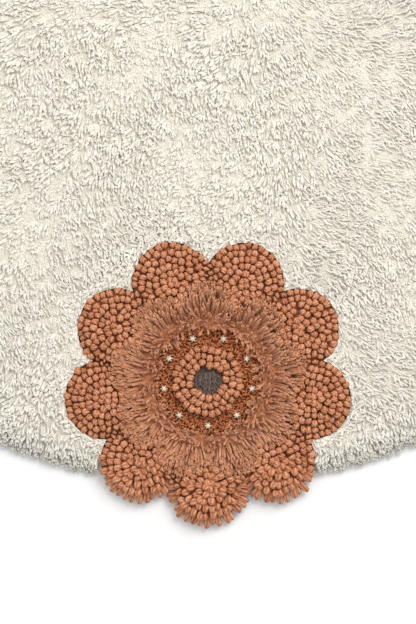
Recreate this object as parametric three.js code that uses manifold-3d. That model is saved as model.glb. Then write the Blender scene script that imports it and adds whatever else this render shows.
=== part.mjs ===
// A round cotton shag rug, 1.2 m across, with a layered flower tufted at its rim.
//
// Millimetres, +Z up. The origin is the middle of the round field, on the floor.
// The flower lies towards -Y, and its lowest petal reaches past the round rim.
// The yarns are tufted side by side into one base cloth, so every pile piece stands
// on the cloth and ends at its neighbour.
import * as THREE from "three";
import { mergeVertices } from "three/addons/utils/BufferGeometryUtils.js";
import Module from "manifold-3d";

const wasm = await Module();
wasm.setup();

// Driving dimensions
const RUG_RADIUS = 600; // to the tips of the rim locks
const CLOTH_THICKNESS = 2;
const CLOTH_SETBACK = 5; // of the cloth's edge from the edge of the pile on it
const PLAY = 0.3; // between neighbouring pieces
const GROUND_HEIGHT = 17; // top of the cream pile
const FLOWER_RADIUS = 158; // to the tips of the outer petals
const FLOWER_OVERHANG = 42.5; // of the lowest petal past the round rim
const PETAL_COUNT = 9;
const RING_RADIUS = 60; // outside of the short rust pile
const BOSS_RADIUS = 38;
const CORE_RADIUS = 17;

// Worked out from them
const PILE_FLOOR = CLOTH_THICKNESS + PLAY;
const FLOWER_Y = FLOWER_RADIUS - FLOWER_OVERHANG - RUG_RADIUS;
const PETAL_STEP = (2 * Math.PI) / PETAL_COUNT;
const LOWEST_PETAL = -Math.PI / 2;

// The cream field and the locks that fringe it
const FIELD = { radius: RUG_RADIUS - 13, rounding: 24, rings: 18, segments: 90 };
const LOCK = {
  count: 150,
  length: 34,
  width: 11,
  rootHeight: 9.5,
  tipHeight: 0.8,
  tipRise: 2.4, // how much higher a tip may lie
  shortfall: 6, // how much shorter of the rim a tip may end
  sway: 10, // how far a tip may lean along the rim
};

// A petal is a cushion round a middle at some distance from the flower's; turn is in steps
const OUTER = { distance: 114, radius: FLOWER_RADIUS - 114, turn: 0, height: 22, rounding: 24, fall: 11 };
const INNER = { distance: 74, radius: 30, turn: 0.5, height: 24, rounding: 20, fall: 5 };
const CUSHION = { rings: 5, segments: 24 };

// Loops that hang over the edge of a petal where it lies past the round rim
const FINGER = { count: 10, length: 24, width: 9, height: 8, spread: 1.3, overhang: 4 };

// Rings and rounds of pile in the flower's middle
const ROUNDS = [
  { name: "rust_ring", inner: BOSS_RADIUS, outer: RING_RADIUS, height: 11, dome: 1, colour: "rust" },
  { name: "boss", inner: CORE_RADIUS, outer: BOSS_RADIUS, height: 21.5, dome: 3, colour: "terracotta" },
  { name: "core", inner: 0, outer: CORE_RADIUS, height: 20, dome: 4, colour: "charcoal" },
];
const RUST_HEIGHT = ROUNDS[0].height;
const KNOT = { radius: 3.6, ringRadius: (BOSS_RADIUS + RING_RADIUS) / 2 };

// Soft swells in the pile: wavelength and direction in the plane, and half height
const SWELLS = [
  { wave: 190, toward: 0.4, rise: 1.0 },
  { wave: 127, toward: 1.9, rise: 0.8 },
  { wave: 83, toward: 2.7, rise: 0.6 },
  { wave: 61, toward: 1.1, rise: 0.5 },
];

const YARN = {
  canvas: { color: 0xe3dccb, roughness: 0.95 },
  cream: { color: 0xe8e1d2, roughness: 0.95 },
  terracotta: { color: 0xb0724f, roughness: 0.92 },
  rust: { color: 0x8e5335, roughness: 0.95 },
  charcoal: { color: 0x5d504a, roughness: 0.9 },
};

// Taller than any pile, for the cutters
const CUT_HEIGHT = 40;

// A closed geometry with its doubled vertices merged, as a solid that can be cut and joined
function solidOf(geometry) {
  geometry.deleteAttribute("normal");
  geometry.deleteAttribute("uv");
  const merged = mergeVertices(geometry, 1e-3);
  return new wasm.Manifold(
    new wasm.Mesh({
      numProp: 3,
      vertProperties: new Float32Array(merged.attributes.position.array),
      triVerts: new Uint32Array(merged.index.array),
    }),
  );
}

// A named mesh of a solid in one of the yarns
function piece(name, solid, colour) {
  const { vertProperties, triVerts } = solid.getMesh();
  const geometry = new THREE.BufferGeometry();
  geometry.setAttribute("position", new THREE.BufferAttribute(vertProperties, 3));
  geometry.setIndex(new THREE.BufferAttribute(triVerts, 1));
  geometry.computeVertexNormals();
  const mesh = new THREE.Mesh(geometry, new THREE.MeshStandardMaterial({ ...YARN[colour], metalness: 0 }));
  mesh.name = name;
  return mesh;
}

// An outline raised from the floor
function prism(outline, height, curveSegments = 8) {
  return solidOf(new THREE.ExtrudeGeometry(outline, { depth: height, curveSegments, bevelEnabled: false }));
}

function circleOutline(radius) {
  return new THREE.Shape().absarc(0, 0, radius, 0, 2 * Math.PI);
}

function petalAxis(i, layer) {
  return LOWEST_PETAL + (i + layer.turn) * PETAL_STEP;
}

// The scalloped outline of a layer of petals round the flower's middle, grown by a margin
function petalOutline(layer, margin) {
  const radius = layer.radius + margin;
  const toNeighbour = layer.distance * Math.sin(PETAL_STEP / 2);
  const halfSpan = Math.PI / 2 + PETAL_STEP / 2 - Math.acos(toNeighbour / radius);
  const outline = new THREE.Shape();
  for (let i = 0; i < PETAL_COUNT; i++) {
    const axis = petalAxis(i, layer);
    const x = layer.distance * Math.cos(axis);
    const y = layer.distance * Math.sin(axis);
    outline.absarc(x, y, radius, axis - halfSpan, axis + halfSpan);
  }
  return outline;
}

// The wedge between one petal and its two neighbours, drawn in by half the play
function wedgeOutline(axis) {
  const reach = 2 * FLOWER_RADIUS;
  const apex = PLAY / 2 / Math.sin(PETAL_STEP / 2);
  const corner = (radius, angle) => [
    apex * Math.cos(axis) + radius * Math.cos(angle),
    apex * Math.sin(axis) + radius * Math.sin(angle),
  ];
  return new THREE.Shape()
    .moveTo(...corner(0, axis))
    .lineTo(...corner(reach, axis - PETAL_STEP / 2))
    .lineTo(...corner(reach, axis + PETAL_STEP / 2));
}

// How far the pile swells at a point, above or below its mean
function swell(x, y) {
  return SWELLS.reduce((sum, { wave, toward, rise }) => {
    const along = x * Math.cos(toward) + y * Math.sin(toward);
    const across = y * Math.cos(toward) - x * Math.sin(toward);
    return sum + rise * Math.sin((2 * Math.PI * along) / wave + Math.sin(across / wave));
  }, 0);
}

// How much of its fall a rounded edge has made, at a distance inside it
function roundedFall(inside, rounding) {
  const share = THREE.MathUtils.clamp(1 - inside / rounding, 0, 0.98);
  return 1 - Math.sqrt(1 - share * share);
}

// A number from -1 to 1 that jumps about as i counts up; each seed has numbers of its own
function scatter(i, seed) {
  const wide = Math.sin(12.9898 * i + 78.233 * seed) * 43758.5453;
  return 2 * (wide - Math.floor(wide)) - 1;
}

// A round slab of pile on the base cloth: a turned slab whose top follows heightAt(x, y, radius).
// The rings of its top lie closer together towards the edge, where the pile is rounded.
function pileSlab(radius, rings, segments, heightAt) {
  const profile = [new THREE.Vector2(0, PILE_FLOOR), new THREE.Vector2(radius, PILE_FLOOR)];
  for (let i = 0; i <= rings; i++) {
    const ringRadius = radius * Math.cos((i / rings) * (Math.PI / 2));
    profile.push(new THREE.Vector2(ringRadius, CUT_HEIGHT));
  }
  const slab = new THREE.LatheGeometry(profile, segments).rotateX(Math.PI / 2);
  const position = slab.attributes.position;
  for (let i = 0; i < position.count; i++) {
    if (position.getZ(i) > CUT_HEIGHT / 2) {
      const x = position.getX(i);
      const y = position.getY(i);
      position.setZ(i, heightAt(x, y, Math.hypot(x, y)));
    }
  }
  return solidOf(slab);
}

// Base cloth: a cotton canvas cut round, with a lobe under the flower
function baseCloth() {
  const round = prism(circleOutline(FIELD.radius - CLOTH_SETBACK), CLOTH_THICKNESS, 36);
  const lobe = prism(petalOutline(OUTER, -CLOTH_SETBACK), CLOTH_THICKNESS);
  return piece("base_cloth", round.add(lobe.translate(0, FLOWER_Y, 0)), "canvas");
}

// One lock of yarn, four-sided: it leaves the pile at its root and tapers to a tip near the floor
function lock(i) {
  const angle = ((i + 0.25 * scatter(i, 1)) / LOCK.count) * 2 * Math.PI;
  const lean = (LOCK.sway / RUG_RADIUS) * scatter(i, 2);
  const reach = RUG_RADIUS - (LOCK.shortfall / 2) * (1 + scatter(i, 3));
  const tipHeight = LOCK.tipHeight + (LOCK.tipRise / 2) * (1 + scatter(i, 4));
  const at = (radius, turn, z) => new THREE.Vector3(radius * Math.cos(turn), radius * Math.sin(turn), z);
  const root = at(reach - LOCK.length, angle, LOCK.rootHeight);
  const along = at(reach, angle + lean, tipHeight).sub(root);
  const length = along.length();
  const up = new THREE.Vector3(0, 1, 0);
  const cone = new THREE.ConeGeometry(LOCK.width / 2, length, 4, 1).translate(0, length / 2, 0);
  cone.applyQuaternion(new THREE.Quaternion().setFromUnitVectors(up, along.normalize()));
  return solidOf(cone.translate(root.x, root.y, root.z));
}

// Ground shag: the cream field, swelling a little, round-shouldered, with locks at its rim
// and a bed cut out for the flower
function groundShag() {
  const { radius, rounding, rings, segments } = FIELD;
  const field = pileSlab(radius, rings, segments, (x, y, r) => {
    const top = GROUND_HEIGHT + swell(x, y);
    return top - (top - 2 * PILE_FLOOR) * roundedFall(radius - r, rounding);
  });
  const locks = Array.from({ length: LOCK.count }, (_, i) => lock(i));
  const bed = prism(petalOutline(OUTER, PLAY / 2), CUT_HEIGHT).translate(0, FLOWER_Y, 0);
  return piece("ground_shag", wasm.Manifold.union([field, ...locks]).subtract(bed), "cream");
}

// The finger loops of one outer petal, four-sided, where they lie past the round rim
function fingers(axis) {
  const { count, length, width, height, spread, overhang } = FINGER;
  const loops = [];
  for (let i = 0; i < count; i++) {
    const turn = axis + spread * ((2 * i) / (count - 1) - 1);
    const fromPetal = OUTER.radius + overhang - length / 2;
    const x = OUTER.distance * Math.cos(axis) + fromPetal * Math.cos(turn);
    const y = OUTER.distance * Math.sin(axis) + fromPetal * Math.sin(turn);
    if (Math.hypot(x, y + FLOWER_Y) > RUG_RADIUS) {
      const loop = new THREE.SphereGeometry(1, 4, 4).rotateX(Math.PI / 2);
      loop.scale(length / 2, width / 2, width / 2).rotateZ(turn);
      loops.push(solidOf(loop.translate(x, y, height)));
    }
  }
  return loops;
}

// The petals of one layer: each is a cushion cut to its wedge of the layer's outline, less
// what lies further in, with the loops that fringe it
function petals(name, layer, further, fringeOf) {
  const { distance, radius, height, rounding, fall } = layer;
  const outline = prism(petalOutline(layer, -PLAY / 2), CUT_HEIGHT).subtract(further);
  return Array.from({ length: PETAL_COUNT }, (_, i) => {
    const axis = petalAxis(i, layer);
    const middle = [distance * Math.cos(axis), distance * Math.sin(axis)];
    const cushion = pileSlab(radius, CUSHION.rings, CUSHION.segments, (x, y, r) => {
      const swelling = 0.4 * swell(2 * (x + middle[0]), 2 * (y + middle[1]));
      return height + swelling - fall * roundedFall(radius - r, rounding);
    });
    const body = cushion.translate(...middle, 0).intersect(outline);
    const wedge = prism(wedgeOutline(axis), CUT_HEIGHT);
    const solid = wasm.Manifold.union([body, ...fringeOf(axis)]).intersect(wedge);
    return piece(`${name}_${i + 1}`, solid, "terracotta");
  });
}

// Outer petals: thick loops, with finger loops past the rim
function outerPetals() {
  return petals("outer_petal", OUTER, prism(petalOutline(INNER, PLAY / 2), CUT_HEIGHT), fingers);
}

// Inner petals: long cut pile over the joints of the outer petals
function innerPetals() {
  const ring = prism(circleOutline(RING_RADIUS + PLAY / 2), CUT_HEIGHT, 18);
  return petals("inner_petal", INNER, ring, () => []);
}

// A ring or round of pile, domed between its edges
function roundPile({ name, inner, outer, height, dome, colour }) {
  const middle = inner ? (inner + outer) / 2 : 0;
  const slab = pileSlab(outer - PLAY / 2, CUSHION.rings, 36, (x, y, r) => {
    const offMiddle = Math.min(1, Math.abs(r - middle) / (outer - middle));
    return height - dome * offMiddle ** 2;
  });
  if (!inner) return piece(name, slab, colour);
  return piece(name, slab.subtract(prism(circleOutline(inner + PLAY / 2), CUT_HEIGHT, 18)), colour);
}

// Knots: single cream stitches in a ring, each resting on the rust pile
function knots() {
  return Array.from({ length: PETAL_COUNT }, (_, i) => {
    const axis = petalAxis(i, OUTER);
    const x = KNOT.ringRadius * Math.cos(axis);
    const y = KNOT.ringRadius * Math.sin(axis);
    const ball = new THREE.SphereGeometry(KNOT.radius, 8, 6).rotateX(Math.PI / 2);
    return piece(`knot_${i + 1}`, solidOf(ball.translate(x, y, RUST_HEIGHT + PLAY + KNOT.radius)), "cream");
  });
}

const flower = new THREE.Group();
flower.position.y = FLOWER_Y;
flower.add(...outerPetals(), ...innerPetals(), ...ROUNDS.map(roundPile), ...knots());

const rug = new THREE.Group();
rug.add(baseCloth(), groundShag(), flower);

export default rug;
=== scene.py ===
import math

import bmesh
import bpy
import numpy as np
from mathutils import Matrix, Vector
from mathutils.bvhtree import BVHTree


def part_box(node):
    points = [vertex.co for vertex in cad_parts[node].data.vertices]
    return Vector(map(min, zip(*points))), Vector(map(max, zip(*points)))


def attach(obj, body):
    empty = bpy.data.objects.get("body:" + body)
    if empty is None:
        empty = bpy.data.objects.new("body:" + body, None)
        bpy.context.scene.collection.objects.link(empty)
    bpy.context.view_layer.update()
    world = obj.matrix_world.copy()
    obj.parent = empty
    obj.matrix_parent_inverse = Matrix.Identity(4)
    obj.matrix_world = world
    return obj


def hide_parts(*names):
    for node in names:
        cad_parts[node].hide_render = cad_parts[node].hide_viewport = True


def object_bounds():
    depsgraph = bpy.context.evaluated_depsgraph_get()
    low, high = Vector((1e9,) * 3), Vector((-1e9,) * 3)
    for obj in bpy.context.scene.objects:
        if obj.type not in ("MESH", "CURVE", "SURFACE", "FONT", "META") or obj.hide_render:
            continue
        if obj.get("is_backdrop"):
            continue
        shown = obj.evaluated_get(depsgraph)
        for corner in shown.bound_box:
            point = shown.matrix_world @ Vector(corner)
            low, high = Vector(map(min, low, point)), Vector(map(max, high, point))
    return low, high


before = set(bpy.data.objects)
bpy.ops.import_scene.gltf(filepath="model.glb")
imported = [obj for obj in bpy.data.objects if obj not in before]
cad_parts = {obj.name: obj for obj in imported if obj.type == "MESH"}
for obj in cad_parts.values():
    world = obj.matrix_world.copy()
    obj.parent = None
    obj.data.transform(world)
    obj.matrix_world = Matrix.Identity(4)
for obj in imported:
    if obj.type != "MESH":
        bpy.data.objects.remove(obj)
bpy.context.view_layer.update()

# Base cloth: one unbleached cotton canvas, cut round with a scalloped lobe under the flower.
# It is woven one over one, the pile is tufted through it, and its underside lies on the floor.
CANVAS = {"thread": 0.0018, "slub_scale": 160.0, "contrast": 1.9, "relief": 0.0006}
# The gap colour is painted shade between the threads; the thread colour is the canvas's own.
CANVAS_COLOURS = {"gap": (0.36, 0.32, 0.25, 1), "thread": (0.72, 0.67, 0.56, 1)}
MERGE_DISTANCE = 1e-5


def add_node(tree, kind, inputs=None, **settings):
    """A shader node with its settings, and its inputs given as values or as other nodes' outputs."""
    node = tree.nodes.new(kind)
    for name, value in settings.items():
        setattr(node, name, value)
    for name, value in (inputs or {}).items():
        if isinstance(value, bpy.types.NodeSocket):
            tree.links.new(value, node.inputs[name])
        else:
            node.inputs[name].default_value = value
    return node


def math_node(tree, operation, first, second=0.0):
    """The output of one operation on one value or two."""
    return add_node(tree, "ShaderNodeMath", {0: first, 1: second}, operation=operation).outputs[0]


def mixed_colour(tree, share, first, second):
    """A colour between two others, nearer to the second as the share goes from 0 to 1."""
    mix = add_node(tree, "ShaderNodeMix", {0: share, 6: first, 7: second}, data_type="RGBA")
    return mix.outputs[2]


def cotton(name, colour, height, depth):
    """Finishes a cotton material from its colour, and a height that is raised by depth metres."""
    material = bpy.data.materials[name]
    tree = material.node_tree
    bump = add_node(tree, "ShaderNodeBump", {"Strength": 1.0, "Distance": depth, "Height": height})
    shader = add_node(
        tree,
        "ShaderNodeBsdfPrincipled",
        {
            "Base Color": colour,
            "Roughness": 0.95,
            "Specular IOR Level": 0.15,
            "Normal": bump.outputs["Normal"],
        },
    )
    output = add_node(tree, "ShaderNodeOutputMaterial")
    tree.links.new(shader.outputs["BSDF"], output.inputs["Surface"])
    return material


def blank_material(name):
    """A new material whose node tree is still empty."""
    material = bpy.data.materials.new(name)
    material.use_nodes = True
    material.node_tree.nodes.clear()
    return material


def canvas_material():
    """Threads that pass over and under each other, a little uneven, with painted shade that darkens the gaps.
    """
    tree = blank_material("cotton_canvas").node_tree
    place = add_node(tree, "ShaderNodeTexCoord").outputs["Object"]
    across = add_node(tree, "ShaderNodeSeparateXYZ", {"Vector": place})
    ridges = []
    for axis in ("X", "Y"):
        turn = math_node(tree, "MULTIPLY", across.outputs[axis], math.pi / CANVAS["thread"])
        ridges.append(math_node(tree, "ABSOLUTE", math_node(tree, "SINE", turn)))
    flat = add_node(tree, "ShaderNodeCombineXYZ", {"X": across.outputs["X"], "Y": across.outputs["Y"]})
    squares = {"Vector": flat.outputs[0], "Scale": 1 / CANVAS["thread"]}
    over = add_node(tree, "ShaderNodeTexChecker", squares)
    woven = add_node(tree, "ShaderNodeMix", {0: over.outputs["Fac"], 2: ridges[0], 3: ridges[1]})
    slubs = {"Vector": place, "Scale": CANVAS["slub_scale"], "Detail": 4.0}
    uneven = add_node(tree, "ShaderNodeTexNoise", slubs)
    height = math_node(tree, "MULTIPLY", woven.outputs[0], uneven.outputs["Fac"])
    share = math_node(tree, "MULTIPLY", height, CANVAS["contrast"])
    colour = mixed_colour(tree, share, CANVAS_COLOURS["gap"], CANVAS_COLOURS["thread"])
    return cotton("cotton_canvas", colour, height, CANVAS["relief"])


def node_copy(name, node, material):
    """A new piece that starts as a closed copy of a node's own shape."""
    mesh = bpy.data.meshes.new(name)
    shape = bmesh.new()
    shape.from_mesh(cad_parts[node].data)
    bmesh.ops.remove_doubles(shape, verts=shape.verts, dist=MERGE_DISTANCE)
    shape.to_mesh(mesh)
    shape.free()
    piece = bpy.data.objects.new(name, mesh)
    bpy.context.scene.collection.objects.link(piece)
    mesh.materials.clear()
    mesh.materials.append(material)
    return piece


cloth = node_copy("canvas_cloth", "base_cloth", canvas_material())
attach(cloth, "root")
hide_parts("base_cloth")

# Roots of the cream shag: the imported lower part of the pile, where the yarns can't be told
# apart. It is a copy of the node's own shape, sunk all over, rounded down and drawn in at the
# rim, and the locks lie over it.
CREAM = {
    "deep": (0.700, 0.610, 0.440, 1),
    "yarn": (0.915, 0.865, 0.758, 1),
    "pale": (0.955, 0.932, 0.872, 1),
}
CREAM_ROOTS = {"share": 0.83, "rim": 0.589, "under_top": 0.0005}
EDGE = {"bend": 0.574, "rim": 0.603, "lip": 0.001, "height": 0.017}
PLY_RELIEF = 0.30


def yarn_group():
    """Colour and relief of plied cotton yarn, from its tone, its plies and its fibres."""
    tree = bpy.data.node_groups.new("plied_yarn", "ShaderNodeTree")
    for name in ("Deep", "Yarn", "Pale"):
        tree.interface.new_socket(name, in_out="INPUT", socket_type="NodeSocketColor")
    for name in ("Tone", "Plies", "Twist", "Fibres", "Mottle"):
        tree.interface.new_socket(name, in_out="INPUT", socket_type="NodeSocketFloat")
    tree.interface.new_socket("Colour", in_out="OUTPUT", socket_type="NodeSocketColor")
    tree.interface.new_socket("Height", in_out="OUTPUT", socket_type="NodeSocketFloat")
    given = add_node(tree, "NodeGroupInput").outputs
    place = add_node(tree, "ShaderNodeTexCoord").outputs["Object"]
    round_yarn = add_node(tree, "ShaderNodeUVMap", uv_map="Yarn").outputs["UV"]
    turn = add_node(tree, "ShaderNodeSeparateXYZ", {"Vector": round_yarn}).outputs
    wound = math_node(tree, "MULTIPLY", turn["X"], given["Plies"])
    twisted = math_node(tree, "ADD", wound, math_node(tree, "MULTIPLY", turn["Y"], given["Twist"]))
    ply = math_node(tree, "SINE", math_node(tree, "MULTIPLY", twisted, 2 * math.pi))
    fibre = add_node(tree, "ShaderNodeTexNoise", {"Vector": place, "Scale": given["Fibres"], "Detail": 3.0})
    fine = math_node(tree, "SUBTRACT", fibre.outputs["Fac"], 0.5)
    ridge = math_node(tree, "MULTIPLY", ply, PLY_RELIEF)
    height = math_node(tree, "ADD", ridge, fine)
    tone = math_node(tree, "ADD", given["Tone"], math_node(tree, "MULTIPLY", height, given["Mottle"]))
    # Up to a tone of a half the colour goes from deep to yarn, and past it from yarn to pale. Low tones are
    # mostly painted shade, at roots, in crevices and at the rim; the rest is the yarn's own darker tone.
    dark_side = math_node(tree, "MULTIPLY", tone, 2.0)
    light_side = math_node(tree, "SUBTRACT", dark_side, 1.0)
    shaded = mixed_colour(tree, dark_side, given["Deep"], given["Yarn"])
    colour = mixed_colour(tree, light_side, shaded, given["Pale"])
    add_node(tree, "NodeGroupOutput", {"Colour": colour, "Height": height})
    return tree


plied_yarn = yarn_group()


def yarn_material(name, colours, fibres, mottle, relief, plies=0, twist=0, tone=None):
    """Cotton yarn in three shades. Its tone is even, or is read from the mesh where none is given."""
    tree = blank_material(name).node_tree
    if tone is None:
        tone = add_node(tree, "ShaderNodeAttribute", attribute_name="tone").outputs["Fac"]
    inputs = {
        "Deep": colours["deep"],
        "Yarn": colours["yarn"],
        "Pale": colours["pale"],
        "Tone": tone,
        "Plies": plies,
        "Twist": twist,
        "Fibres": fibres,
        "Mottle": mottle,
    }
    group = add_node(tree, "ShaderNodeGroup", inputs, node_tree=plied_yarn)
    return cotton(name, group.outputs["Colour"], group.outputs["Height"], relief)


def pile_roots(name, node, material, share, draw_in=None):
    """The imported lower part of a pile: a copy of its node with the top sunk, and its rim drawn in."""
    piece = node_copy(name, node, material)
    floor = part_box(node)[0].z
    for vertex in piece.data.vertices:
        vertex.co.z = floor + share * (vertex.co.z - floor)
        if draw_in:
            vertex.co.xy = draw_in(vertex.co.xy)
    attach(piece, "root")
    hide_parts(node)
    return piece


def inside_rim(point):
    """A point as it is, or on the roots' rim where it lies past it."""
    rim = CREAM_ROOTS["rim"]
    return point if point.length < rim else point.normalized() * rim


def ramp(values, start, width):
    """0 up to the start, 1 from a width past it, and a straight rise between."""
    return np.clip((values - start) / width, 0, 1)


def radii(points):
    """How far each point lies from the middle of the rug."""
    return np.hypot(*points.T)


def shag_top(points):
    """The height of the cream pile: level over the field, and rounded down to the floor at the rim."""
    past_bend = ramp(radii(points), EDGE["bend"], EDGE["rim"] + EDGE["lip"] - EDGE["bend"])
    return EDGE["height"] * np.sqrt(1 - past_bend**2)


# The roots have a lower tone than the locks: painted shade in the depths of the pile between them.
cream_roots = yarn_material("cream_roots", CREAM, fibres=620.0, mottle=2.0, relief=0.003, tone=0.47)
packed = pile_roots(
    "cream_shag_roots", "ground_shag", cream_roots, CREAM_ROOTS["share"], inside_rim
)
for vertex in packed.data.vertices:
    highest = shag_top(np.array(vertex.co.xy)) - CREAM_ROOTS["under_top"]
    vertex.co.z = min(vertex.co.z, highest)

# Cream shag: cut cotton locks, tufted close all over the round field. They lean outwards in swirls
# and gather in small tufts. Beside the flower they are short and lie every way, and at the rim they
# hang to the floor and are thin. There their colour is greyer and darker towards the tips: painted shade.
SHAG = {
    "pitch": 0.0034,
    "inset": 0.008,
    "width": 0.0031,
    "widths": (0.75, 1.15),
    "length": 0.0200,
    "lengths": (0.75, 1.2),
    "depth": 0.009,
    "least_height": 0.0025,
}
SHAG_PIECES = 6
RIM_PIECE_FROM = 0.576
# The rim locks' deep shade is greyer than the field's: painted shade, for the rug's rim in its own shade.
CREAM_RIM_SHADE = {**CREAM, "deep": (0.560, 0.542, 0.490, 1)}
# A cut end: its radius at the root, where its tip starts, how far it swells there, how flat it is
LOCK = {"root": 0.4, "shoulder": 0.9, "near": 0.05, "swell": 11.0, "flatness": 0.6}
# Tufts: how far apart they are, how far off a square grid, how narrow, and how they rise
TUFT = {
    "pitch": 0.0145,
    "scatter": 0.45,
    "narrowness": 0.62,
    "radius": 0.62,
    "gather": 0.52,
    "dome": 0.0025,
    "dome_reach": 1.2,
    "rise": 0.0005,
    "lump": 0.0003,
}
# The lay: how far locks stray from the comb, in radians, and where they are calmer or wilder
LAY = {
    "stray": 0.34,
    "tuft_stray": 0.38,
    "unruly_share": 0.10,
    "unruly_stray": 1.1,
    "calm": 0.8,
    "calm_start": 0.50,
    "calm_width": 0.07,
    "rim_calm": 0.75,
    "rim_calm_start": 0.56,
    "rim_calm_width": 0.02,
    "crown": 1.3,
    "crown_radius": 0.09,
    "crown_tuft_stray": 2.4,
    "crown_stray": 0.4,
}
# At the rim and beside the flower more locks stand between the others, a pitch of their own apart
EDGING_PITCH = 0.0045
BESIDE_FLOWER = {
    "band": 0.008,
    "loose_band": 0.009,
    "loose_within": 0.8,
    "length": 0.6,
    "depth": 0.0035,
    "tries": 6,
    "turned_length": 0.9,
    "last_length": 0.25,
}
# The rim: where it starts to count, how the tips hang there, and what grows less towards it
AT_RIM = {
    "start": 0.562,
    "width": 0.015,
    "hang": 0.72,
    "wave": 0.002,
    "ragged": 0.010,
    "less_gather": 0.5,
    "less_dome": 0.6,
    "less_crest": 0.3,
    "less_width": 0.1,
    "less_contrast": 0.4,
}
# The arch of a lock: its crest as shares of root and tip, and the heights of crest and tip
ARCH = {
    "crest": (0.68, 0.32),
    "crest_height": (0.6, 0.4),
    "crest_rise": (0.0016, 0.0048),
    "aside": 0.24,
    "aside_stray": 0.07,
    "tip_sink": 0.0022,
    "tip_uneven": 0.0012,
    "least_tip": 0.0012,
    "least_tip_uneven": 0.0025,
}
# Tones of the locks: a mean, shares for tufts and lumps, each lock's spread, and the rim's shade. Tufts and
# locks differ at random; the lump share is painted light on the higher lumps, the rim's shade is painted
# shade.
SHAG_TONE = {
    "mean": 0.66,
    "tuft": 0.03,
    "lump": 0.01,
    "lock": 0.08,
    "rim_shade": 0.46,
    "rim_shade_start": 0.586,
    "rim_shade_width": 0.015,
}
# The shade at every yarn's root: how dark, how far up, and how fast it fades
ROOT_SHADE = {"depth": 0.16, "height": 0.45, "fade": 1.2}
# The bake's map: the margin in each yarn's square, and how far the yarn's own map runs in it
BAKE_MARGIN = 0.06
MAP_SPAN = (1.5, 1)
POLE_RADIUS = 1e-6
LEAST_LENGTH = 1e-9
# Waves: the length in metres, the heading in radians and the share of each
SWIRL = ((0.33, 0.3, 0.50), (0.19, 1.7, 0.34), (0.11, 2.9, 0.11))
LUMPS = ((0.067, 0.7, 0.5), (0.041, 2.0, 0.5), (0.027, 1.2, 0.4))
WAVE_BEND = {"depth": 1.6, "pitch": 4.1}
PETALS = 9
PETAL_STEP = 2 * math.pi / PETALS
OUTER = {"distance": 0.114, "radius": 0.044, "turn": 0}


def cut_lock():
    """One cut yarn end, three-sided, along +Z from 0 to 1: flat on top, with a blunt tip."""
    shape = bmesh.new()
    bmesh.ops.create_cone(shape, segments=3, radius1=LOCK["root"], radius2=0, depth=1, cap_ends=False)
    bmesh.ops.translate(shape, vec=(0, 0, 0.5), verts=shape.verts)
    whole = shape.verts[:] + shape.edges[:] + shape.faces[:]
    bmesh.ops.bisect_plane(shape, geom=whole, plane_co=(0, 0, LOCK["shoulder"]), plane_no=(0, 0, 1))
    shoulder = [v for v in shape.verts if abs(v.co.z - LOCK["shoulder"]) < LOCK["near"]]
    bmesh.ops.scale(shape, vec=(LOCK["swell"], LOCK["swell"], 1), verts=shoulder)
    bmesh.ops.scale(shape, vec=(1, -LOCK["flatness"], 1), verts=shape.verts)
    bmesh.ops.reverse_faces(shape, faces=shape.faces)
    return shape


def template(shape):
    """A bmesh shape as arrays: its points, the corners of its faces, and its map round and along."""
    shape.verts.ensure_lookup_table()
    points = np.array([v.co[:] for v in shape.verts])
    corners, sizes, around = [], [], []
    for face in shape.faces:
        turns = [math.atan2(v.co.y, v.co.x) / (2 * math.pi) % 1.0 for v in face.verts]
        # A point on the axis has no turn of its own, and takes the mean of its face's others
        poles = [math.hypot(v.co.x, v.co.y) < POLE_RADIUS for v in face.verts]
        known = [t for t, pole in zip(turns, poles) if not pole]
        wraps = max(known) - min(known) > 0.5
        turns = [t + 1 if wraps and t < 0.5 else t for t in turns]
        middle = sum(t for t, pole in zip(turns, poles) if not pole) / len(known)
        turns = [middle if pole else t for t, pole in zip(turns, poles)]
        corners += [v.index for v in face.verts]
        around += [(t, v.co.z) for t, v in zip(turns, face.verts)]
        sizes.append(len(face.verts))
    shape.free()
    return {"points": points, "corners": np.array(corners), "sizes": np.array(sizes), "map": np.array(around)}


def unit(vectors):
    """The vectors, each drawn to a length of one."""
    return vectors / np.maximum(np.linalg.norm(vectors, axis=-1, keepdims=True), LEAST_LENGTH)


def routes_through(*stations):
    """Yarn routes from their root, crest and tip, each given as places in the plane and heights."""
    return np.stack([np.column_stack(station) for station in stations], 1)


def blend(first, second, shares):
    """The sum of two values, each with its share."""
    return shares[0] * first + shares[1] * second


def yarn_places(form, routes, widths):
    """Where the template's points go on each yarn, along a curve through root, crest and tip."""
    sides, ups, t = form["points"].T[:, None, :, None]
    root, crest, tip = routes.transpose(1, 0, 2)[:, :, None, :]
    spine = (1 - t) ** 2 * root + 2 * t * (1 - t) * crest + t**2 * tip
    run = unit((1 - t) * (crest - root) + t * (tip - crest))
    side = unit(np.cross(tip - root, (0, 0, 1)))
    over = np.cross(side, run)
    return spine + widths.reshape(len(routes), -1, 1) * (sides * side + ups * over)


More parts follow.
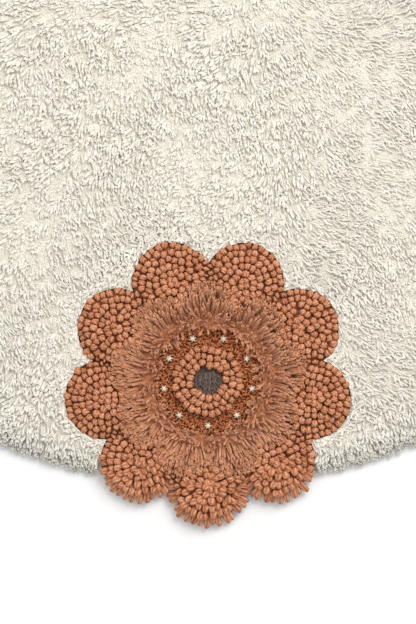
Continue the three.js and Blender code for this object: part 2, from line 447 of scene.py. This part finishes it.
def join_yarns(name, form, routes, widths, tones, material, smooth=True):
    """One mesh of many yarn ends. Each bends the template along its own route of root, crest and tip."""
    count, size = len(routes), len(form["points"])
    places = yarn_places(form, routes, widths)
    first = np.arange(count)[:, None]
    corners = (first * size + form["corners"]).ravel()
    sizes = np.tile(form["sizes"], count)
    mesh = bpy.data.meshes.new(name)
    mesh.vertices.add(count * size)
    mesh.vertices.foreach_set("co", places.astype(np.float32).ravel())
    mesh.loops.add(len(corners))
    mesh.loops.foreach_set("vertex_index", corners.astype(np.int32))
    mesh.polygons.add(len(sizes))
    mesh.polygons.foreach_set("loop_start", (np.cumsum(sizes) - sizes).astype(np.int32))
    mesh.update(calc_edges=True)
    mesh.polygons.foreach_set("use_smooth", np.full(len(sizes), smooth))
    down = 1 - np.minimum(form["points"][:, 2] / ROOT_SHADE["height"], 1)
    shade = tones[:, None] - ROOT_SHADE["depth"] * down ** ROOT_SHADE["fade"]
    mesh.attributes.new("tone", "FLOAT", "POINT").data.foreach_set("value", shade.astype(np.float32).ravel())
    around = np.tile(form["map"], (count, 1))
    mesh.uv_layers.new(name="Yarn", do_init=False).data.foreach_set("uv", around.astype(np.float32).ravel())
    # A second map for the bake has a square for each yarn
    row = math.ceil(math.sqrt(count))
    squares = np.stack([first[:, 0] % row, first[:, 0] // row], 1)
    squares = np.repeat(squares, len(form["corners"]), axis=0)
    baked = (squares + BAKE_MARGIN + (1 - 2 * BAKE_MARGIN) * around / MAP_SPAN) / row
    mesh.uv_layers.new(name="OFBake", do_init=False).data.foreach_set("uv", baked.astype(np.float32).ravel())
    mesh.materials.append(material)
    piece = bpy.data.objects.new(name, mesh)
    bpy.context.scene.collection.objects.link(piece)
    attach(piece, "root")
    return piece


def tops_of(node):
    """A function that gives the height of a node's top at points in the plane, and NaN beside it."""
    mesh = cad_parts[node].data
    tree = BVHTree.FromPolygons([v.co for v in mesh.vertices], [p.vertices for p in mesh.polygons])
    down = Vector((0, 0, -1))

    def heights(points):
        hits = (tree.ray_cast(Vector((x, y, 1)), down)[0] for x, y in points)
        return np.array([math.nan if hit is None else hit.z for hit in hits])

    return heights


def scattered_grid(random, pitch, low, high):
    """Points in a rectangle, on a square grid that each leaves by up to half a pitch."""
    xs = np.arange(low[0], high[0], pitch)
    ys = np.arange(low[1], high[1], pitch)
    grid = np.stack(np.meshgrid(xs, ys), -1).reshape(-1, 2)
    return grid + random.uniform(-0.5, 0.5, grid.shape) * pitch


def waves(points, table):
    """A smooth uneven field: a sum of bent sine waves, each with a length, a heading and a share."""
    total = np.zeros(len(points))
    for length, heading, share in table:
        along = points @ (math.cos(heading), math.sin(heading))
        across = points @ (-math.sin(heading), math.cos(heading))
        bend = WAVE_BEND["depth"] * np.sin(WAVE_BEND["pitch"] * across / length + heading)
        total += share * np.sin(2 * math.pi * along / length + bend)
    return total


def turned(vectors, angle):
    """The vectors, each turned in the plane by its angle."""
    across, along = vectors.T
    turned_across = across * np.cos(angle) - along * np.sin(angle)
    turned_along = across * np.sin(angle) + along * np.cos(angle)
    return np.stack([turned_across, turned_along], 1)


def combed(points):
    """The way the cream pile lies: outwards from the middle, turned aside in swirls, less so at the rim."""
    calm = ramp(np.linalg.norm(points, axis=1), LAY["calm_start"], LAY["calm_width"])
    return turned(unit(points), waves(points, SWIRL) * (1 - LAY["calm"] * calm))


def tuft_of(random, points, lean, pitch):
    """Each yarn's tuft: its number, its middle, and how far the yarn is from it, in tuft radii."""
    low = points.min(0) - 2 * pitch
    columns, rows = np.ceil((points.max(0) + 2 * pitch - low) / pitch).astype(int)
    middles = np.stack(np.meshgrid(np.arange(columns), np.arange(rows), indexing="ij"), -1) + 0.5
    middles = low + pitch * (middles + random.uniform(-TUFT["scatter"], TUFT["scatter"], middles.shape))
    cell = ((points - low) / pitch).astype(int)
    across = np.stack([-lean[:, 1], lean[:, 0]], 1)
    best = np.full(len(points), np.inf)
    number = np.zeros(len(points), int)
    for step in np.ndindex(3, 3):
        near = np.clip(cell + np.array(step) - 1, 0, (columns - 1, rows - 1))
        away = points - middles[near[:, 0], near[:, 1]]
        far = np.hypot(TUFT["narrowness"] * (away * lean).sum(1), (away * across).sum(1))
        number = np.where(far < best, near[:, 0] * rows + near[:, 1], number)
        best = np.minimum(far, best)
    middle = middles.reshape(-1, 2)[number]
    return number, middle, best / (TUFT["radius"] * pitch)


flower_middle = np.array(((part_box("core")[0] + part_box("core")[1]) / 2).xy)


def petal_middle(i, layer):
    """The middle of a petal's round end, with the petals counted round from the near rim."""
    angle = -math.pi / 2 + (i + layer["turn"]) * PETAL_STEP
    return flower_middle + layer["distance"] * np.array((math.cos(angle), math.sin(angle)))


outer_middles = np.array([petal_middle(i, OUTER) for i in range(PETALS)])


def over_flower(points, margin=0.0):
    """Whether points lie over the flower, or within a margin of its petals' edge."""
    from_petals = np.linalg.norm(points[:, None] - outer_middles, axis=2).min(1)
    in_petal = from_petals < OUTER["radius"] + margin
    return in_petal | (np.linalg.norm(points - flower_middle, axis=1) < OUTER["distance"])


# Where the locks stand, and the tuft that each belongs to
random = np.random.default_rng(41)
reach = EDGE["rim"] - SHAG["inset"]
field = scattered_grid(random, SHAG["pitch"], (-reach, -reach), (reach, reach))
edging = scattered_grid(random, EDGING_PITCH, (-reach, -reach), (reach, reach))
at_an_edge = (radii(edging) > EDGE["bend"]) | over_flower(edging, BESIDE_FLOWER["band"])
roots = np.vstack([field, edging[at_an_edge]])
roots = roots[(radii(roots) < reach) & ~over_flower(roots)]
count = len(roots)
number, middle, off_middle = tuft_of(random, roots, combed(roots), TUFT["pitch"])
tuft_tone, tuft_turn, tuft_rise, tuft_bend = random.uniform(-1, 1, (4, number.max() + 1))[:, number]

# Which way they lie, and how long they are
stray = random.normal(0, LAY["stray"], count) + LAY["tuft_stray"] * tuft_turn
unruly = random.random(count) < LAY["unruly_share"]
stray += np.where(unruly, random.normal(0, LAY["unruly_stray"], count), 0)
stray *= 1 - LAY["rim_calm"] * ramp(radii(roots), LAY["rim_calm_start"], LAY["rim_calm_width"])
crown = np.clip(LAY["crown"] - radii(roots) / LAY["crown_radius"], 0, 1)
stray += crown * (LAY["crown_tuft_stray"] * tuft_turn + random.normal(0, LAY["crown_stray"], count))
at_rim = ramp(radii(roots), AT_RIM["start"], AT_RIM["width"])
loose = over_flower(roots, BESIDE_FLOWER["loose_band"]) & (at_rim < BESIDE_FLOWER["loose_within"])
stray[loose] = random.uniform(-math.pi, math.pi, loose.sum())
length = SHAG["length"] * random.uniform(*SHAG["lengths"], count)
length *= np.where(loose, BESIDE_FLOWER["length"], 1)
gathered = TUFT["gather"] * (1 - AT_RIM["less_gather"] * at_rim)[:, None] * (middle - roots)
tips = roots + turned(combed(middle), stray) * length[:, None] + gathered

# A lock whose tip would lie on the flower is turned off it, and cut short if it stays there
for attempt in range(BESIDE_FLOWER["tries"]):
    over = over_flower(tips)
    turn = random.uniform(-math.pi, math.pi, over.sum())
    tips[over] = roots[over] + BESIDE_FLOWER["turned_length"] * turned((tips - roots)[over], turn)
over = over_flower(tips)
tips[over] = roots[over] + BESIDE_FLOWER["last_length"] * (tips - roots)[over]

# At the rim the tips hang down instead of out
out = radii(tips)
hung = EDGE["bend"] + AT_RIM["hang"] * (out - EDGE["bend"])
rim = EDGE["rim"] + AT_RIM["wave"] * tuft_rise - AT_RIM["ragged"] * random.uniform(0, 1, count) ** 2
tips *= np.where(out > EDGE["bend"], np.minimum(hung, rim) / out, 1)[:, None]

# How high the roots, crests and tips are
root_top, tip_top = shag_top(roots), shag_top(tips)
lump = waves(middle, LUMPS)
dome = TUFT["dome"] * (1 - np.minimum(off_middle, TUFT["dome_reach"]) ** 2)
dome = dome + TUFT["rise"] * tuft_rise + TUFT["lump"] * lump
dome *= 1 - AT_RIM["less_dome"] * at_rim
bend = ARCH["aside"] * tuft_bend + random.normal(0, ARCH["aside_stray"], count)
aside = turned(tips - roots, math.pi / 2) * bend[:, None]
crest = blend(roots, tips, ARCH["crest"]) + aside * (1 - at_rim)[:, None]
crest_height = blend(root_top, tip_top, ARCH["crest_height"]) + dome
crest_height += random.uniform(*ARCH["crest_rise"], count) * (1 - AT_RIM["less_crest"] * at_rim)
tip_uneven = random.uniform(-ARCH["tip_uneven"], ARCH["tip_uneven"], count)
tip_height = tip_top - ARCH["tip_sink"] + dome + tip_uneven
least_tip = ARCH["least_tip"] + random.uniform(0, ARCH["least_tip_uneven"], count)
tip_height = np.maximum(tip_height, least_tip)
root_depth = np.where(loose, BESIDE_FLOWER["depth"], SHAG["depth"])
root_height = np.maximum(root_top - root_depth, SHAG["least_height"])
routes = routes_through((roots, root_height), (crest, crest_height), (tips, tip_height))

# Widths and tones, then a piece for each sector of the field and one for the rim
widths = SHAG["width"] * random.uniform(*SHAG["widths"], count) * (1 - AT_RIM["less_width"] * at_rim)
# The tone is a little higher where the lumps rise: painted light; tufts and locks also differ at random.
tones = SHAG_TONE["mean"] + SHAG_TONE["tuft"] * tuft_tone + SHAG_TONE["lump"] * lump
tones += random.normal(0, SHAG_TONE["lock"], count) * (1 - AT_RIM["less_contrast"] * at_rim)
# Tips past the rim's bend get a lower tone: painted shade on the hanging locks.
shaded = ramp(radii(tips), SHAG_TONE["rim_shade_start"], SHAG_TONE["rim_shade_width"])
tones -= SHAG_TONE["rim_shade"] * shaded
lock_yarn = {"fibres": 900.0, "mottle": 1.3, "relief": 0.0007, "plies": 4}
cream_locks = yarn_material("cream_locks", CREAM, **lock_yarn)
cream_rim_locks = yarn_material("cream_rim_locks", CREAM_RIM_SHADE, **lock_yarn)
lock_form = template(cut_lock())
sector = (np.arctan2(roots[:, 1], roots[:, 0]) / (2 * math.pi) % 1 * SHAG_PIECES).astype(int)
sector[radii(tips) > RIM_PIECE_FROM] = SHAG_PIECES
shag_parts = [(f"cream_shag_{part + 1}", cream_locks) for part in range(SHAG_PIECES)]
shag_parts.append(("cream_rim", cream_rim_locks))
for part, (name, material) in enumerate(shag_parts):
    here = sector == part
    shag = join_yarns(
        name, lock_form, routes[here], widths[here], tones[here], material, smooth=False
    )
    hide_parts("ground_shag")

# Outer petals: thick terracotta loops, left uncut and packed in rows that follow each petal's
# edge. Past the round rim the last row hangs over the cloth's edge as longer fingers.
TERRACOTTA = {
    "deep": (0.215, 0.068, 0.028, 1),
    "yarn": (0.560, 0.218, 0.103, 1),
    "pale": (0.790, 0.405, 0.245, 1),
}
LOOP = {
    "pitch": 0.0073,
    "inset": 0.45,
    "reach": 0.0050,
    "widths": (0.84, 1.06),
    "neighbours": 12,
    "least_facing": 0.1,
    "bluntness": 0.4,
    "stray": 0.28,
    "lean": 0.0030,
    "leans": (0.7, 1.4),
    "rim_lean": 1.5,
    "rim_lean_start": 0.57,
    "rim_lean_width": 0.02,
    "depth": 0.012,
    "stand": 0.0022,
    "uneven": 0.0012,
    "hole": 0.75,
    "spares": 4,
    "tone": 0.59,
    "tone_spread": 0.09,
    "root_share": 0.66,
}
# The share of the lean and the share of the depth at a loop's root, crest and tip
LOOP_STATIONS = ((-0.8, 1.0), (-0.2, 0.3), (0.3, 0.0))
FINGER = {
    "start": 0.596,
    "width": 0.0072,
    "widths": (0.85, 1.15),
    "length": 0.019,
    "overhang": 0.002,
    "root_height": 0.009,
    "crest_height": 0.0165,
    "crest_lean": 0.2,
    "tip_heights": (0.0045, 0.0075),
}
TUCK = {"start": 0.594, "width": 0.02, "share": 0.16}


def rounded_loop():
    """One fat loop, along +Z from 0 to 1: blunt at both ends."""
    shape = bmesh.new()
    bmesh.ops.create_uvsphere(shape, u_segments=8, v_segments=5, radius=0.5)
    for vertex in shape.verts:
        vertex.co.xy *= max(2 * vertex.co.xy.length, POLE_RADIUS) ** -LOOP["bluntness"]
        vertex.co.z += 0.5
    return shape


def rings_of(middle, radius, pitch):
    """Points on rings round a middle, a pitch apart, and the way out from the middle at each."""
    points, outwards = [], []
    for k in range(int(radius / pitch) + 1):
        ring = radius - k * pitch
        around = max(1, round(2 * math.pi * ring / pitch))
        angles = (np.arange(around) + 0.5 * k) / around * 2 * math.pi
        out = np.stack([np.cos(angles), np.sin(angles)], 1)
        points.append(middle + ring * out)
        outwards.append(out)
    return np.concatenate(points), np.concatenate(outwards)


def loop_routes(random, points, outwards, tops):
    """Routes of loops that rise from the cloth and nod outwards, the more so past the round rim."""
    count = len(points)
    heading = unit(outwards + random.normal(0, LOOP["stray"], (count, 2)))
    past_rim = ramp(radii(points), LOOP["rim_lean_start"], LOOP["rim_lean_width"])[:, None]
    nod = heading * LOOP["lean"] * random.uniform(*LOOP["leans"], (count, 1))
    nod = nod * (1 + LOOP["rim_lean"] * past_rim)
    height = tops + LOOP["stand"] + random.uniform(-LOOP["uneven"], LOOP["uneven"], count)
    stations = [(points + lean * nod, height - sunk * LOOP["depth"]) for lean, sunk in LOOP_STATIONS]
    return routes_through(*stations)


def packed_widths(random, form, routes):
    """How wide each loop is on each side: it swells until it meets its neighbours, or to its full reach."""
    root, crest, tip = routes.transpose(1, 0, 2)[:, :, :2]
    heading = unit(tip - root)
    across = np.stack([heading[:, 1], -heading[:, 0]], 1)
    x, y = unit(form["points"][:, :2]).T[:, :, None]
    ways = x * across[:, None] - y * heading[:, None]
    offsets = tip[None] - tip[:, None]
    near = np.argsort(np.linalg.norm(offsets, axis=2), axis=1)[:, 1 : 1 + LOOP["neighbours"]]
    offsets = np.take_along_axis(offsets, near[:, :, None], 1)
    half_way = np.linalg.norm(offsets, axis=2)[:, None] / 2
    facing = ways @ unit(offsets).transpose(0, 2, 1)
    least = LOOP["least_facing"]
    limits = np.where(facing > least, half_way / np.maximum(facing, least), LOOP["reach"])
    swollen = 2 * np.minimum(limits.min(2), LOOP["reach"])
    return swollen * random.uniform(*LOOP["widths"], limits.shape[:2])


def filled_in(random, points, outwards, middle, radius, top):
    """Adds points where the rings leave a hole, so that loops cover the whole node."""
    for spare in scattered_grid(random, LOOP["pitch"] / LOOP["spares"], middle - radius, middle + radius):
        apart = np.linalg.norm(points - spare, axis=1).min() > LOOP["hole"] * LOOP["pitch"]
        if apart and np.linalg.norm(spare - middle) < radius and not np.isnan(top([spare])[0]):
            points = np.vstack([points, spare])
            outwards = np.vstack([outwards, unit(spare - middle)])
    return points, outwards


def rows_of_loops(random, middle, radius, top):
    """Where the loops of a round node stand, the way out from its middle at each, and their routes."""
    points, outwards = rings_of(middle, radius, LOOP["pitch"])
    inside = ~np.isnan(top(points))
    points, outwards = filled_in(random, points[inside], outwards[inside], middle, radius, top)
    tops = top(points)
    points += random.normal(0, LOOP["uneven"], points.shape)
    return points, outwards, loop_routes(random, points, outwards, tops)


loop_form = template(rounded_loop())
# The roots are much darker than the loops: painted shade in the crevices between them, in the petals and the
# boss.
terracotta_roots = yarn_material(
    "terracotta_roots", TERRACOTTA, fibres=520.0, mottle=0.8, relief=0.002, tone=0.15
)
terracotta_loops = yarn_material(
    "terracotta_loops", TERRACOTTA, fibres=650.0, mottle=0.9, relief=0.0012, plies=5, twist=0.8
)
random = np.random.default_rng(7)
half_loop = LOOP["inset"] * LOOP["pitch"]
petals = []
for i in range(PETALS):
    middle = petal_middle(i, OUTER)
    last_row = OUTER["radius"] - half_loop
    points, outwards, routes = rows_of_loops(random, middle, last_row, tops_of(f"outer_petal_{i + 1}"))
    edge = np.linalg.norm(points - middle, axis=1) > OUTER["radius"] - LOOP["pitch"]
    finger = (radii(points) > FINGER["start"]) & edge
    start = points - outwards * (FINGER["length"] - half_loop - FINGER["overhang"])
    crest = points - FINGER["crest_lean"] * outwards * LOOP["lean"]
    end = points + outwards * (half_loop + FINGER["overhang"])
    hanging = routes_through(
        (start, np.full(len(points), FINGER["root_height"])),
        (crest, np.full(len(points), FINGER["crest_height"])),
        (end, random.uniform(*FINGER["tip_heights"], len(points))),
    )
    routes[finger] = hanging[finger]
    petals.append((routes, finger, np.full(len(points), i)))
routes, finger, owner = (np.concatenate(part) for part in zip(*petals))
widths = packed_widths(random, loop_form, routes)
widths[finger] = FINGER["width"] * random.uniform(*FINGER["widths"], (finger.sum(), 1))
tones = LOOP["tone"] + random.normal(0, LOOP["tone_spread"], len(routes))
for i in range(PETALS):
    node = f"outer_petal_{i + 1}"
    own = owner == i
    loops = join_yarns(
        node + "_loops", loop_form, routes[own], widths[own], tones[own], terracotta_loops
    )
    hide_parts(node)

    def under_loops(point, middle=Vector(petal_middle(i, OUTER))):
        """A point as it is, or nearer to the petal's middle where it lies past the round rim."""
        past = (point.length - TUCK["start"]) / TUCK["width"]
        return middle + (point - middle) * (1 - TUCK["share"] * min(max(past, 0), 1))

    pile_roots(node + "_roots", node, terracotta_roots, LOOP["root_share"], under_loops)

# Inner petals: long terracotta cut pile, tufted like the shag and combed outwards over the
# joints of the loops, in flat tufts like the strands of a brush. At the ring it lies every way.
INNER = {"distance": 0.074, "radius": 0.030, "turn": 0.5}
BRUSH = {
    "pitch": 0.0022,
    "width": 0.0028,
    "widths": (0.8, 1.2),
    "length": 0.021,
    "lengths": (0.7, 1.1),
    "fan": 0.8,
    "fan_start": 0.02,
    "stray": 0.22,
    "ring_start": 1.2,
    "ring_width": 0.009,
    "ring_length": 0.6,
    "tuft": 0.009,
    "gather": 0.5,
    "overhang": (-0.003, 0.007),
    "dome": 0.0022,
    "dome_reach": 1.2,
    "tuft_rise": 0.0008,
    "rise": (-0.0014, 0.0010),
    "depth": 0.013,
    "crest": (0.82, 0.18),
    "crest_stand": 0.0045,
    "tip_sink": 0.0016,
    "tone": 0.70,
    "tuft_tone": 0.08,
    "tone_spread": 0.11,
    "ring_tone": 0.06,
    "root_share": 0.60,
}
terracotta_strands = yarn_material(
    "terracotta_strands", TERRACOTTA, fibres=1100.0, mottle=0.9, relief=0.0005, plies=6
)
# The roots are darker than the strands: painted shade in the gaps between them.
terracotta_brush_roots = yarn_material(
    "terracotta_brush_roots", TERRACOTTA, fibres=700.0, mottle=1.0, relief=0.002, tone=0.42
)


def standing_on(node, random, pitch):
    """Points scattered over a node, and the height of its top at each."""
    low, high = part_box(node)
    points = scattered_grid(random, pitch, low.xy, high.xy)
    tops = tops_of(node)(points)
    return points[~np.isnan(tops)], tops[~np.isnan(tops)]


ring_radius = (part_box("rust_ring")[1].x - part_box("rust_ring")[0].x) / 2
random = np.random.default_rng(19)
for i in range(PETALS):
    node = f"inner_petal_{i + 1}"
    round_end = petal_middle(i, INNER)
    roots, root_top = standing_on(node, random, BRUSH["pitch"])
    count = len(roots)
    outwards = unit(roots - flower_middle)
    fan = unit(roots - round_end + BRUSH["fan_start"] * unit(round_end - flower_middle))
    lean = unit(outwards + BRUSH["fan"] * fan + random.normal(0, BRUSH["stray"], (count, 2)))
    past_ring = np.linalg.norm(roots - flower_middle, axis=1) - ring_radius
    at_ring = random.uniform(0, 1, count) < BRUSH["ring_start"] - past_ring / BRUSH["ring_width"]
    lean[at_ring] = turned(outwards[at_ring], random.uniform(-math.pi, math.pi, at_ring.sum()))
    number, middle, off_middle = tuft_of(random, roots, lean, BRUSH["tuft"])
    tuft_tone, tuft_rise = random.uniform(-1, 1, (2, number.max() + 1))[:, number]
    length = BRUSH["length"] * random.uniform(*BRUSH["lengths"], count)[:, None]
    length[at_ring] *= BRUSH["ring_length"]
    tips = roots + lean * length + BRUSH["gather"] * (middle - roots)
    away = tips - round_end
    limit = INNER["radius"] + random.uniform(*BRUSH["overhang"], count)
    tips = round_end + away * np.minimum(1, limit / np.linalg.norm(away, axis=1))[:, None]
    dome = BRUSH["dome"] * (1 - np.minimum(off_middle, BRUSH["dome_reach"]) ** 2)
    dome = dome + BRUSH["tuft_rise"] * tuft_rise
    top = root_top + dome + random.uniform(*BRUSH["rise"], count)
    routes = routes_through(
        (roots, root_top - BRUSH["depth"]),
        (blend(roots, tips, BRUSH["crest"]), top + BRUSH["crest_stand"]),
        (tips, top - BRUSH["tip_sink"]),
    )
    widths = BRUSH["width"] * random.uniform(*BRUSH["widths"], count)
    tones = BRUSH["tone"] + BRUSH["tuft_tone"] * tuft_tone
    # Strands at the ring get a higher tone: painted light, to lift the shade they lie in.
    tones = tones + random.normal(0, BRUSH["tone_spread"], count) + BRUSH["ring_tone"] * at_ring
    strands = join_yarns(
        node + "_strands", lock_form, routes, widths, tones, terracotta_strands, smooth=False
    )
    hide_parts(node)
    pile_roots(node + "_roots", node, terracotta_brush_roots, BRUSH["root_share"])

# Rust ring: a band of thin dark cotton yarn, sunk between the petals and the boss. It is
# tufted as a short pile whose ends curl over and lie every way.
RUST = {
    "deep": (0.130, 0.034, 0.010, 1),
    "yarn": (0.380, 0.118, 0.042, 1),
    "pale": (0.640, 0.250, 0.110, 1),
}
CURL = {
    "pitch": 0.0029,
    "width": 0.0028,
    "widths": (0.8, 1.2),
    "span": 0.0054,
    "height": 0.0056,
    "heights": (0.4, 1.6),
    "bends": (0.25, 0.5, 0.75),
    "aside": 0.4,
    "depth": 0.002,
    "tone": 0.80,
    "tone_spread": 0.12,
    "root_share": 0.85,
}


def curl():
    """A bent length of thin yarn, three-sided, along +Z from 0 to 1."""
    shape = bmesh.new()
    bmesh.ops.create_cone(shape, segments=3, radius1=0.5, radius2=0.5, depth=1, cap_ends=False)
    bmesh.ops.translate(shape, vec=(0, 0, 0.5), verts=shape.verts)
    for height in CURL["bends"]:
        whole = shape.verts[:] + shape.edges[:] + shape.faces[:]
        bmesh.ops.bisect_plane(shape, geom=whole, plane_co=(0, 0, height), plane_no=(0, 0, 1))
    return shape


random = np.random.default_rng(23)
points, tops = standing_on("rust_ring", random, CURL["pitch"])
count = len(points)
heading = random.uniform(0, 2 * math.pi, count)
heading = np.stack([np.cos(heading), np.sin(heading)], 1) * CURL["span"] / 2
rise = random.uniform(*CURL["heights"], count) * CURL["height"]
routes = routes_through(
    (points - heading, tops - CURL["depth"]),
    (points + CURL["aside"] * heading[:, ::-1], tops + rise),
    (points + heading, tops - CURL["depth"]),
)
widths = CURL["width"] * random.uniform(*CURL["widths"], count)
tones = CURL["tone"] + random.normal(0, CURL["tone_spread"], count)
rust_curls = yarn_material("rust_curls", RUST, fibres=1400.0, mottle=0.5, relief=0.0004, plies=2, twist=2.0)
curls = join_yarns("rust_ring_curls", template(curl()), routes, widths, tones, rust_curls)
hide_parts("rust_ring")
# The roots are darker than the curls: painted shade under them.
rust_roots = yarn_material("rust_roots", RUST, fibres=700.0, mottle=1.0, relief=0.002, tone=0.25)
pile_roots("rust_ring_roots", "rust_ring", rust_roots, CURL["root_share"])

# Boss: a small round in the middle of the flower, of the same thick terracotta loops as the
# outer petals, left uncut and packed in rings.
BOSS = {"inset": 0.4, "tone_spread": 0.07, "root_share": 0.6}
random = np.random.default_rng(29)
boss_radius = (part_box("boss")[1].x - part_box("boss")[0].x) / 2
last_row = boss_radius - BOSS["inset"] * LOOP["pitch"]
points, outwards, routes = rows_of_loops(random, flower_middle, last_row, tops_of("boss"))
widths = packed_widths(random, loop_form, routes)
tones = LOOP["tone"] + random.normal(0, BOSS["tone_spread"], len(points))
boss_loops = join_yarns("boss_loops", loop_form, routes, widths, tones, terracotta_loops)
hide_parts("boss")
# The boss's roots take the same painted shade as the petals' roots.
pile_roots("boss_roots", "boss", terracotta_roots, BOSS["root_share"])

# Core: a dense tuft of charcoal cotton yarn in the middle of the boss. It is cut, and brushed
# flat to the near side in strands that are lighter and darker by turns.
CHARCOAL = {
    "deep": (0.040, 0.028, 0.022, 1),
    "yarn": (0.162, 0.120, 0.098, 1),
    "pale": (0.295, 0.228, 0.190, 1),
}
CORE = {
    "pitch": 0.0017,
    "width": 0.0022,
    "widths": (0.8, 1.2),
    "length_range": (0.009, 0.015),
    "sway": 0.30,
    "sway_pitch": 150,
    "stray": 0.05,
    "inset": 0.0005,
    "depth": 0.005,
    "crest": (0.6, 0.4),
    "crest_stand": 0.0032,
    "side_sink": 0.003,
    "tip_sink": 0.0010,
    "tip_uneven": 0.0006,
    "tone": 0.74,
    "tone_spread": 0.05,
    "root_share": 0.8,
}
STRANDS = {"contrast": 0.24, "pitch": 1700, "wander": 2, "wander_pitch": 110}
random = np.random.default_rng(31)
roots, root_top = standing_on("core", random, CORE["pitch"])
count = len(roots)
sway = CORE["sway"] * np.sin(CORE["sway_pitch"] * roots[:, 0])
lean = np.stack([sway, np.full(count, -1.0)], 1) + random.normal(0, CORE["stray"], (count, 2))
tips = roots + unit(lean) * random.uniform(*CORE["length_range"], (count, 1))
away = tips - flower_middle
core_radius = (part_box("core")[1].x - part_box("core")[0].x) / 2 - CORE["inset"]
tips = flower_middle + away * np.minimum(1, core_radius / np.linalg.norm(away, axis=1))[:, None]
tip_top = tops_of("core")(tips)
tip_top = np.where(np.isnan(tip_top), root_top - CORE["side_sink"], tip_top)
tip_uneven = random.uniform(-CORE["tip_uneven"], CORE["tip_uneven"], count)
routes = routes_through(
    (roots, root_top - CORE["depth"]),
    (blend(roots, tips, CORE["crest"]), root_top + CORE["crest_stand"]),
    (tips, tip_top - CORE["tip_sink"] + tip_uneven),
)
widths = CORE["width"] * random.uniform(*CORE["widths"], count)
wander = STRANDS["wander"] * np.sin(STRANDS["wander_pitch"] * roots[:, 1])
strand_tone = STRANDS["contrast"] * np.sin(STRANDS["pitch"] * roots[:, 0] + wander)
tones = CORE["tone"] + strand_tone + random.normal(0, CORE["tone_spread"], count)
charcoal_tuft = yarn_material("charcoal_tuft", CHARCOAL, fibres=1400.0, mottle=0.5, relief=0.0003, plies=3)
core = join_yarns("core_tuft", lock_form, routes, widths, tones, charcoal_tuft)
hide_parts("core")
# The roots are darker than the tuft: painted shade under its strands.
charcoal_roots = yarn_material(
    "charcoal_roots", CHARCOAL, fibres=800.0, mottle=0.5, relief=0.001, tone=0.2
)
pile_roots("core_roots", "core", charcoal_roots, CORE["root_share"])

# Knots: nine star stitches of cream cotton yarn, sewn on the rust pile. Each is three short
# turns that cross, the last one on top.
KNOT = {
    "turns": 3,
    "yarn": 0.0023,
    "yarns": (0.9, 1.1),
    "span": 0.0043,
    "heading_step": 0.9,
    "foot_depth": 0.0030,
    "crest_stand": 0.0040,
    "turn_rise": 0.0012,
    "tones": (0.0, 0.25),
}
random = np.random.default_rng(37)
cream_knots = yarn_material(
    "cream_knots", CREAM, fibres=1500.0, mottle=0.6, relief=0.0005, plies=2, twist=1.5
)
for i in range(PETALS):
    node = f"knot_{i + 1}"
    low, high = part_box(node)
    middle = np.array((low + high) / 2)
    foot = middle - (0, 0, KNOT["foot_depth"])
    routes = []
    for turn in range(KNOT["turns"]):
        angle = KNOT["heading_step"] * i + turn * math.pi / KNOT["turns"]
        along = np.array((math.cos(angle), math.sin(angle), 0)) * KNOT["span"]
        crest = middle + (0, 0, KNOT["crest_stand"] + KNOT["turn_rise"] * turn)
        routes.append([foot - along, crest, foot + along])
    widths = KNOT["yarn"] * random.uniform(*KNOT["yarns"], KNOT["turns"])
    tones = random.uniform(*KNOT["tones"], KNOT["turns"])
    knot = join_yarns(node + "_stitch", loop_form, np.array(routes), widths, tones, cream_knots)
    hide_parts(node)

# Studio: a white floor, soft light from above and from the far side of the rug, and the
# camera straight over the near rim, as in the photograph.
PHOTO_HEIGHT = 624
FIELD_MIDDLE_ROW = -63
FIELD_RADIUS_IN_PIXELS = 550
FIELD_RADIUS = 0.600
METRES_PER_PIXEL = FIELD_RADIUS / FIELD_RADIUS_IN_PIXELS
CAMERA = {"height": 3.0, "sensor": 36, "reach": 20}
FLOOR_REACH = 6
SKY_STRENGTH = 0.70
LIGHTS = (
    {"name": "window", "place": (1.0, 1.1, 2.3), "size": 1.5, "power": 54},
    {"name": "fill", "place": (-0.9, 0.5, 2.6), "size": 2.0, "power": 12},
)

floor_mesh = bpy.data.meshes.new("studio_floor")
shape = bmesh.new()
bmesh.ops.create_grid(shape, x_segments=1, y_segments=1, size=FLOOR_REACH)
shape.to_mesh(floor_mesh)
shape.free()
floor = bpy.data.objects.new("studio_floor", floor_mesh)
bpy.context.scene.collection.objects.link(floor)
floor_paint = blank_material("studio_floor")
paint = add_node(
    floor_paint.node_tree,
    "ShaderNodeBsdfPrincipled",
    {"Base Color": (0.87, 0.87, 0.87, 1), "Roughness": 0.9, "Specular IOR Level": 0.1},
)
add_node(floor_paint.node_tree, "ShaderNodeOutputMaterial", {"Surface": paint.outputs["BSDF"]})
floor_mesh.materials.append(floor_paint)
floor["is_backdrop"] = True

view_y = -(PHOTO_HEIGHT / 2 - FIELD_MIDDLE_ROW) * METRES_PER_PIXEL
camera_data = bpy.data.cameras.new("overhead")
camera_data.sensor_width = CAMERA["sensor"]
over_pile = CAMERA["height"] - EDGE["height"]
camera_data.lens = CAMERA["sensor"] * over_pile / (PHOTO_HEIGHT * METRES_PER_PIXEL)
camera_data.clip_end = CAMERA["reach"]
camera = bpy.data.objects.new("overhead", camera_data)
camera.location = (0, view_y, CAMERA["height"])
bpy.context.scene.collection.objects.link(camera)
bpy.context.scene.camera = camera

for lamp in LIGHTS:
    light_data = bpy.data.lights.new(lamp["name"], "AREA")
    light_data.size = lamp["size"]
    light_data.energy = lamp["power"]
    light = bpy.data.objects.new(lamp["name"], light_data)
    light.location = lamp["place"]
    aim = Vector((0, view_y, 0)) - Vector(lamp["place"])
    light.rotation_euler = aim.to_track_quat("-Z", "Y").to_euler()
    bpy.context.scene.collection.objects.link(light)
world = bpy.data.worlds.new("studio")
world.use_nodes = True
world.node_tree.nodes["Background"].inputs["Color"].default_value = (1, 1, 1, 1)
world.node_tree.nodes["Background"].inputs["Strength"].default_value = SKY_STRENGTH
bpy.context.scene.world = world
bpy.context.scene.view_settings.view_transform = "Standard"

low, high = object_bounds()
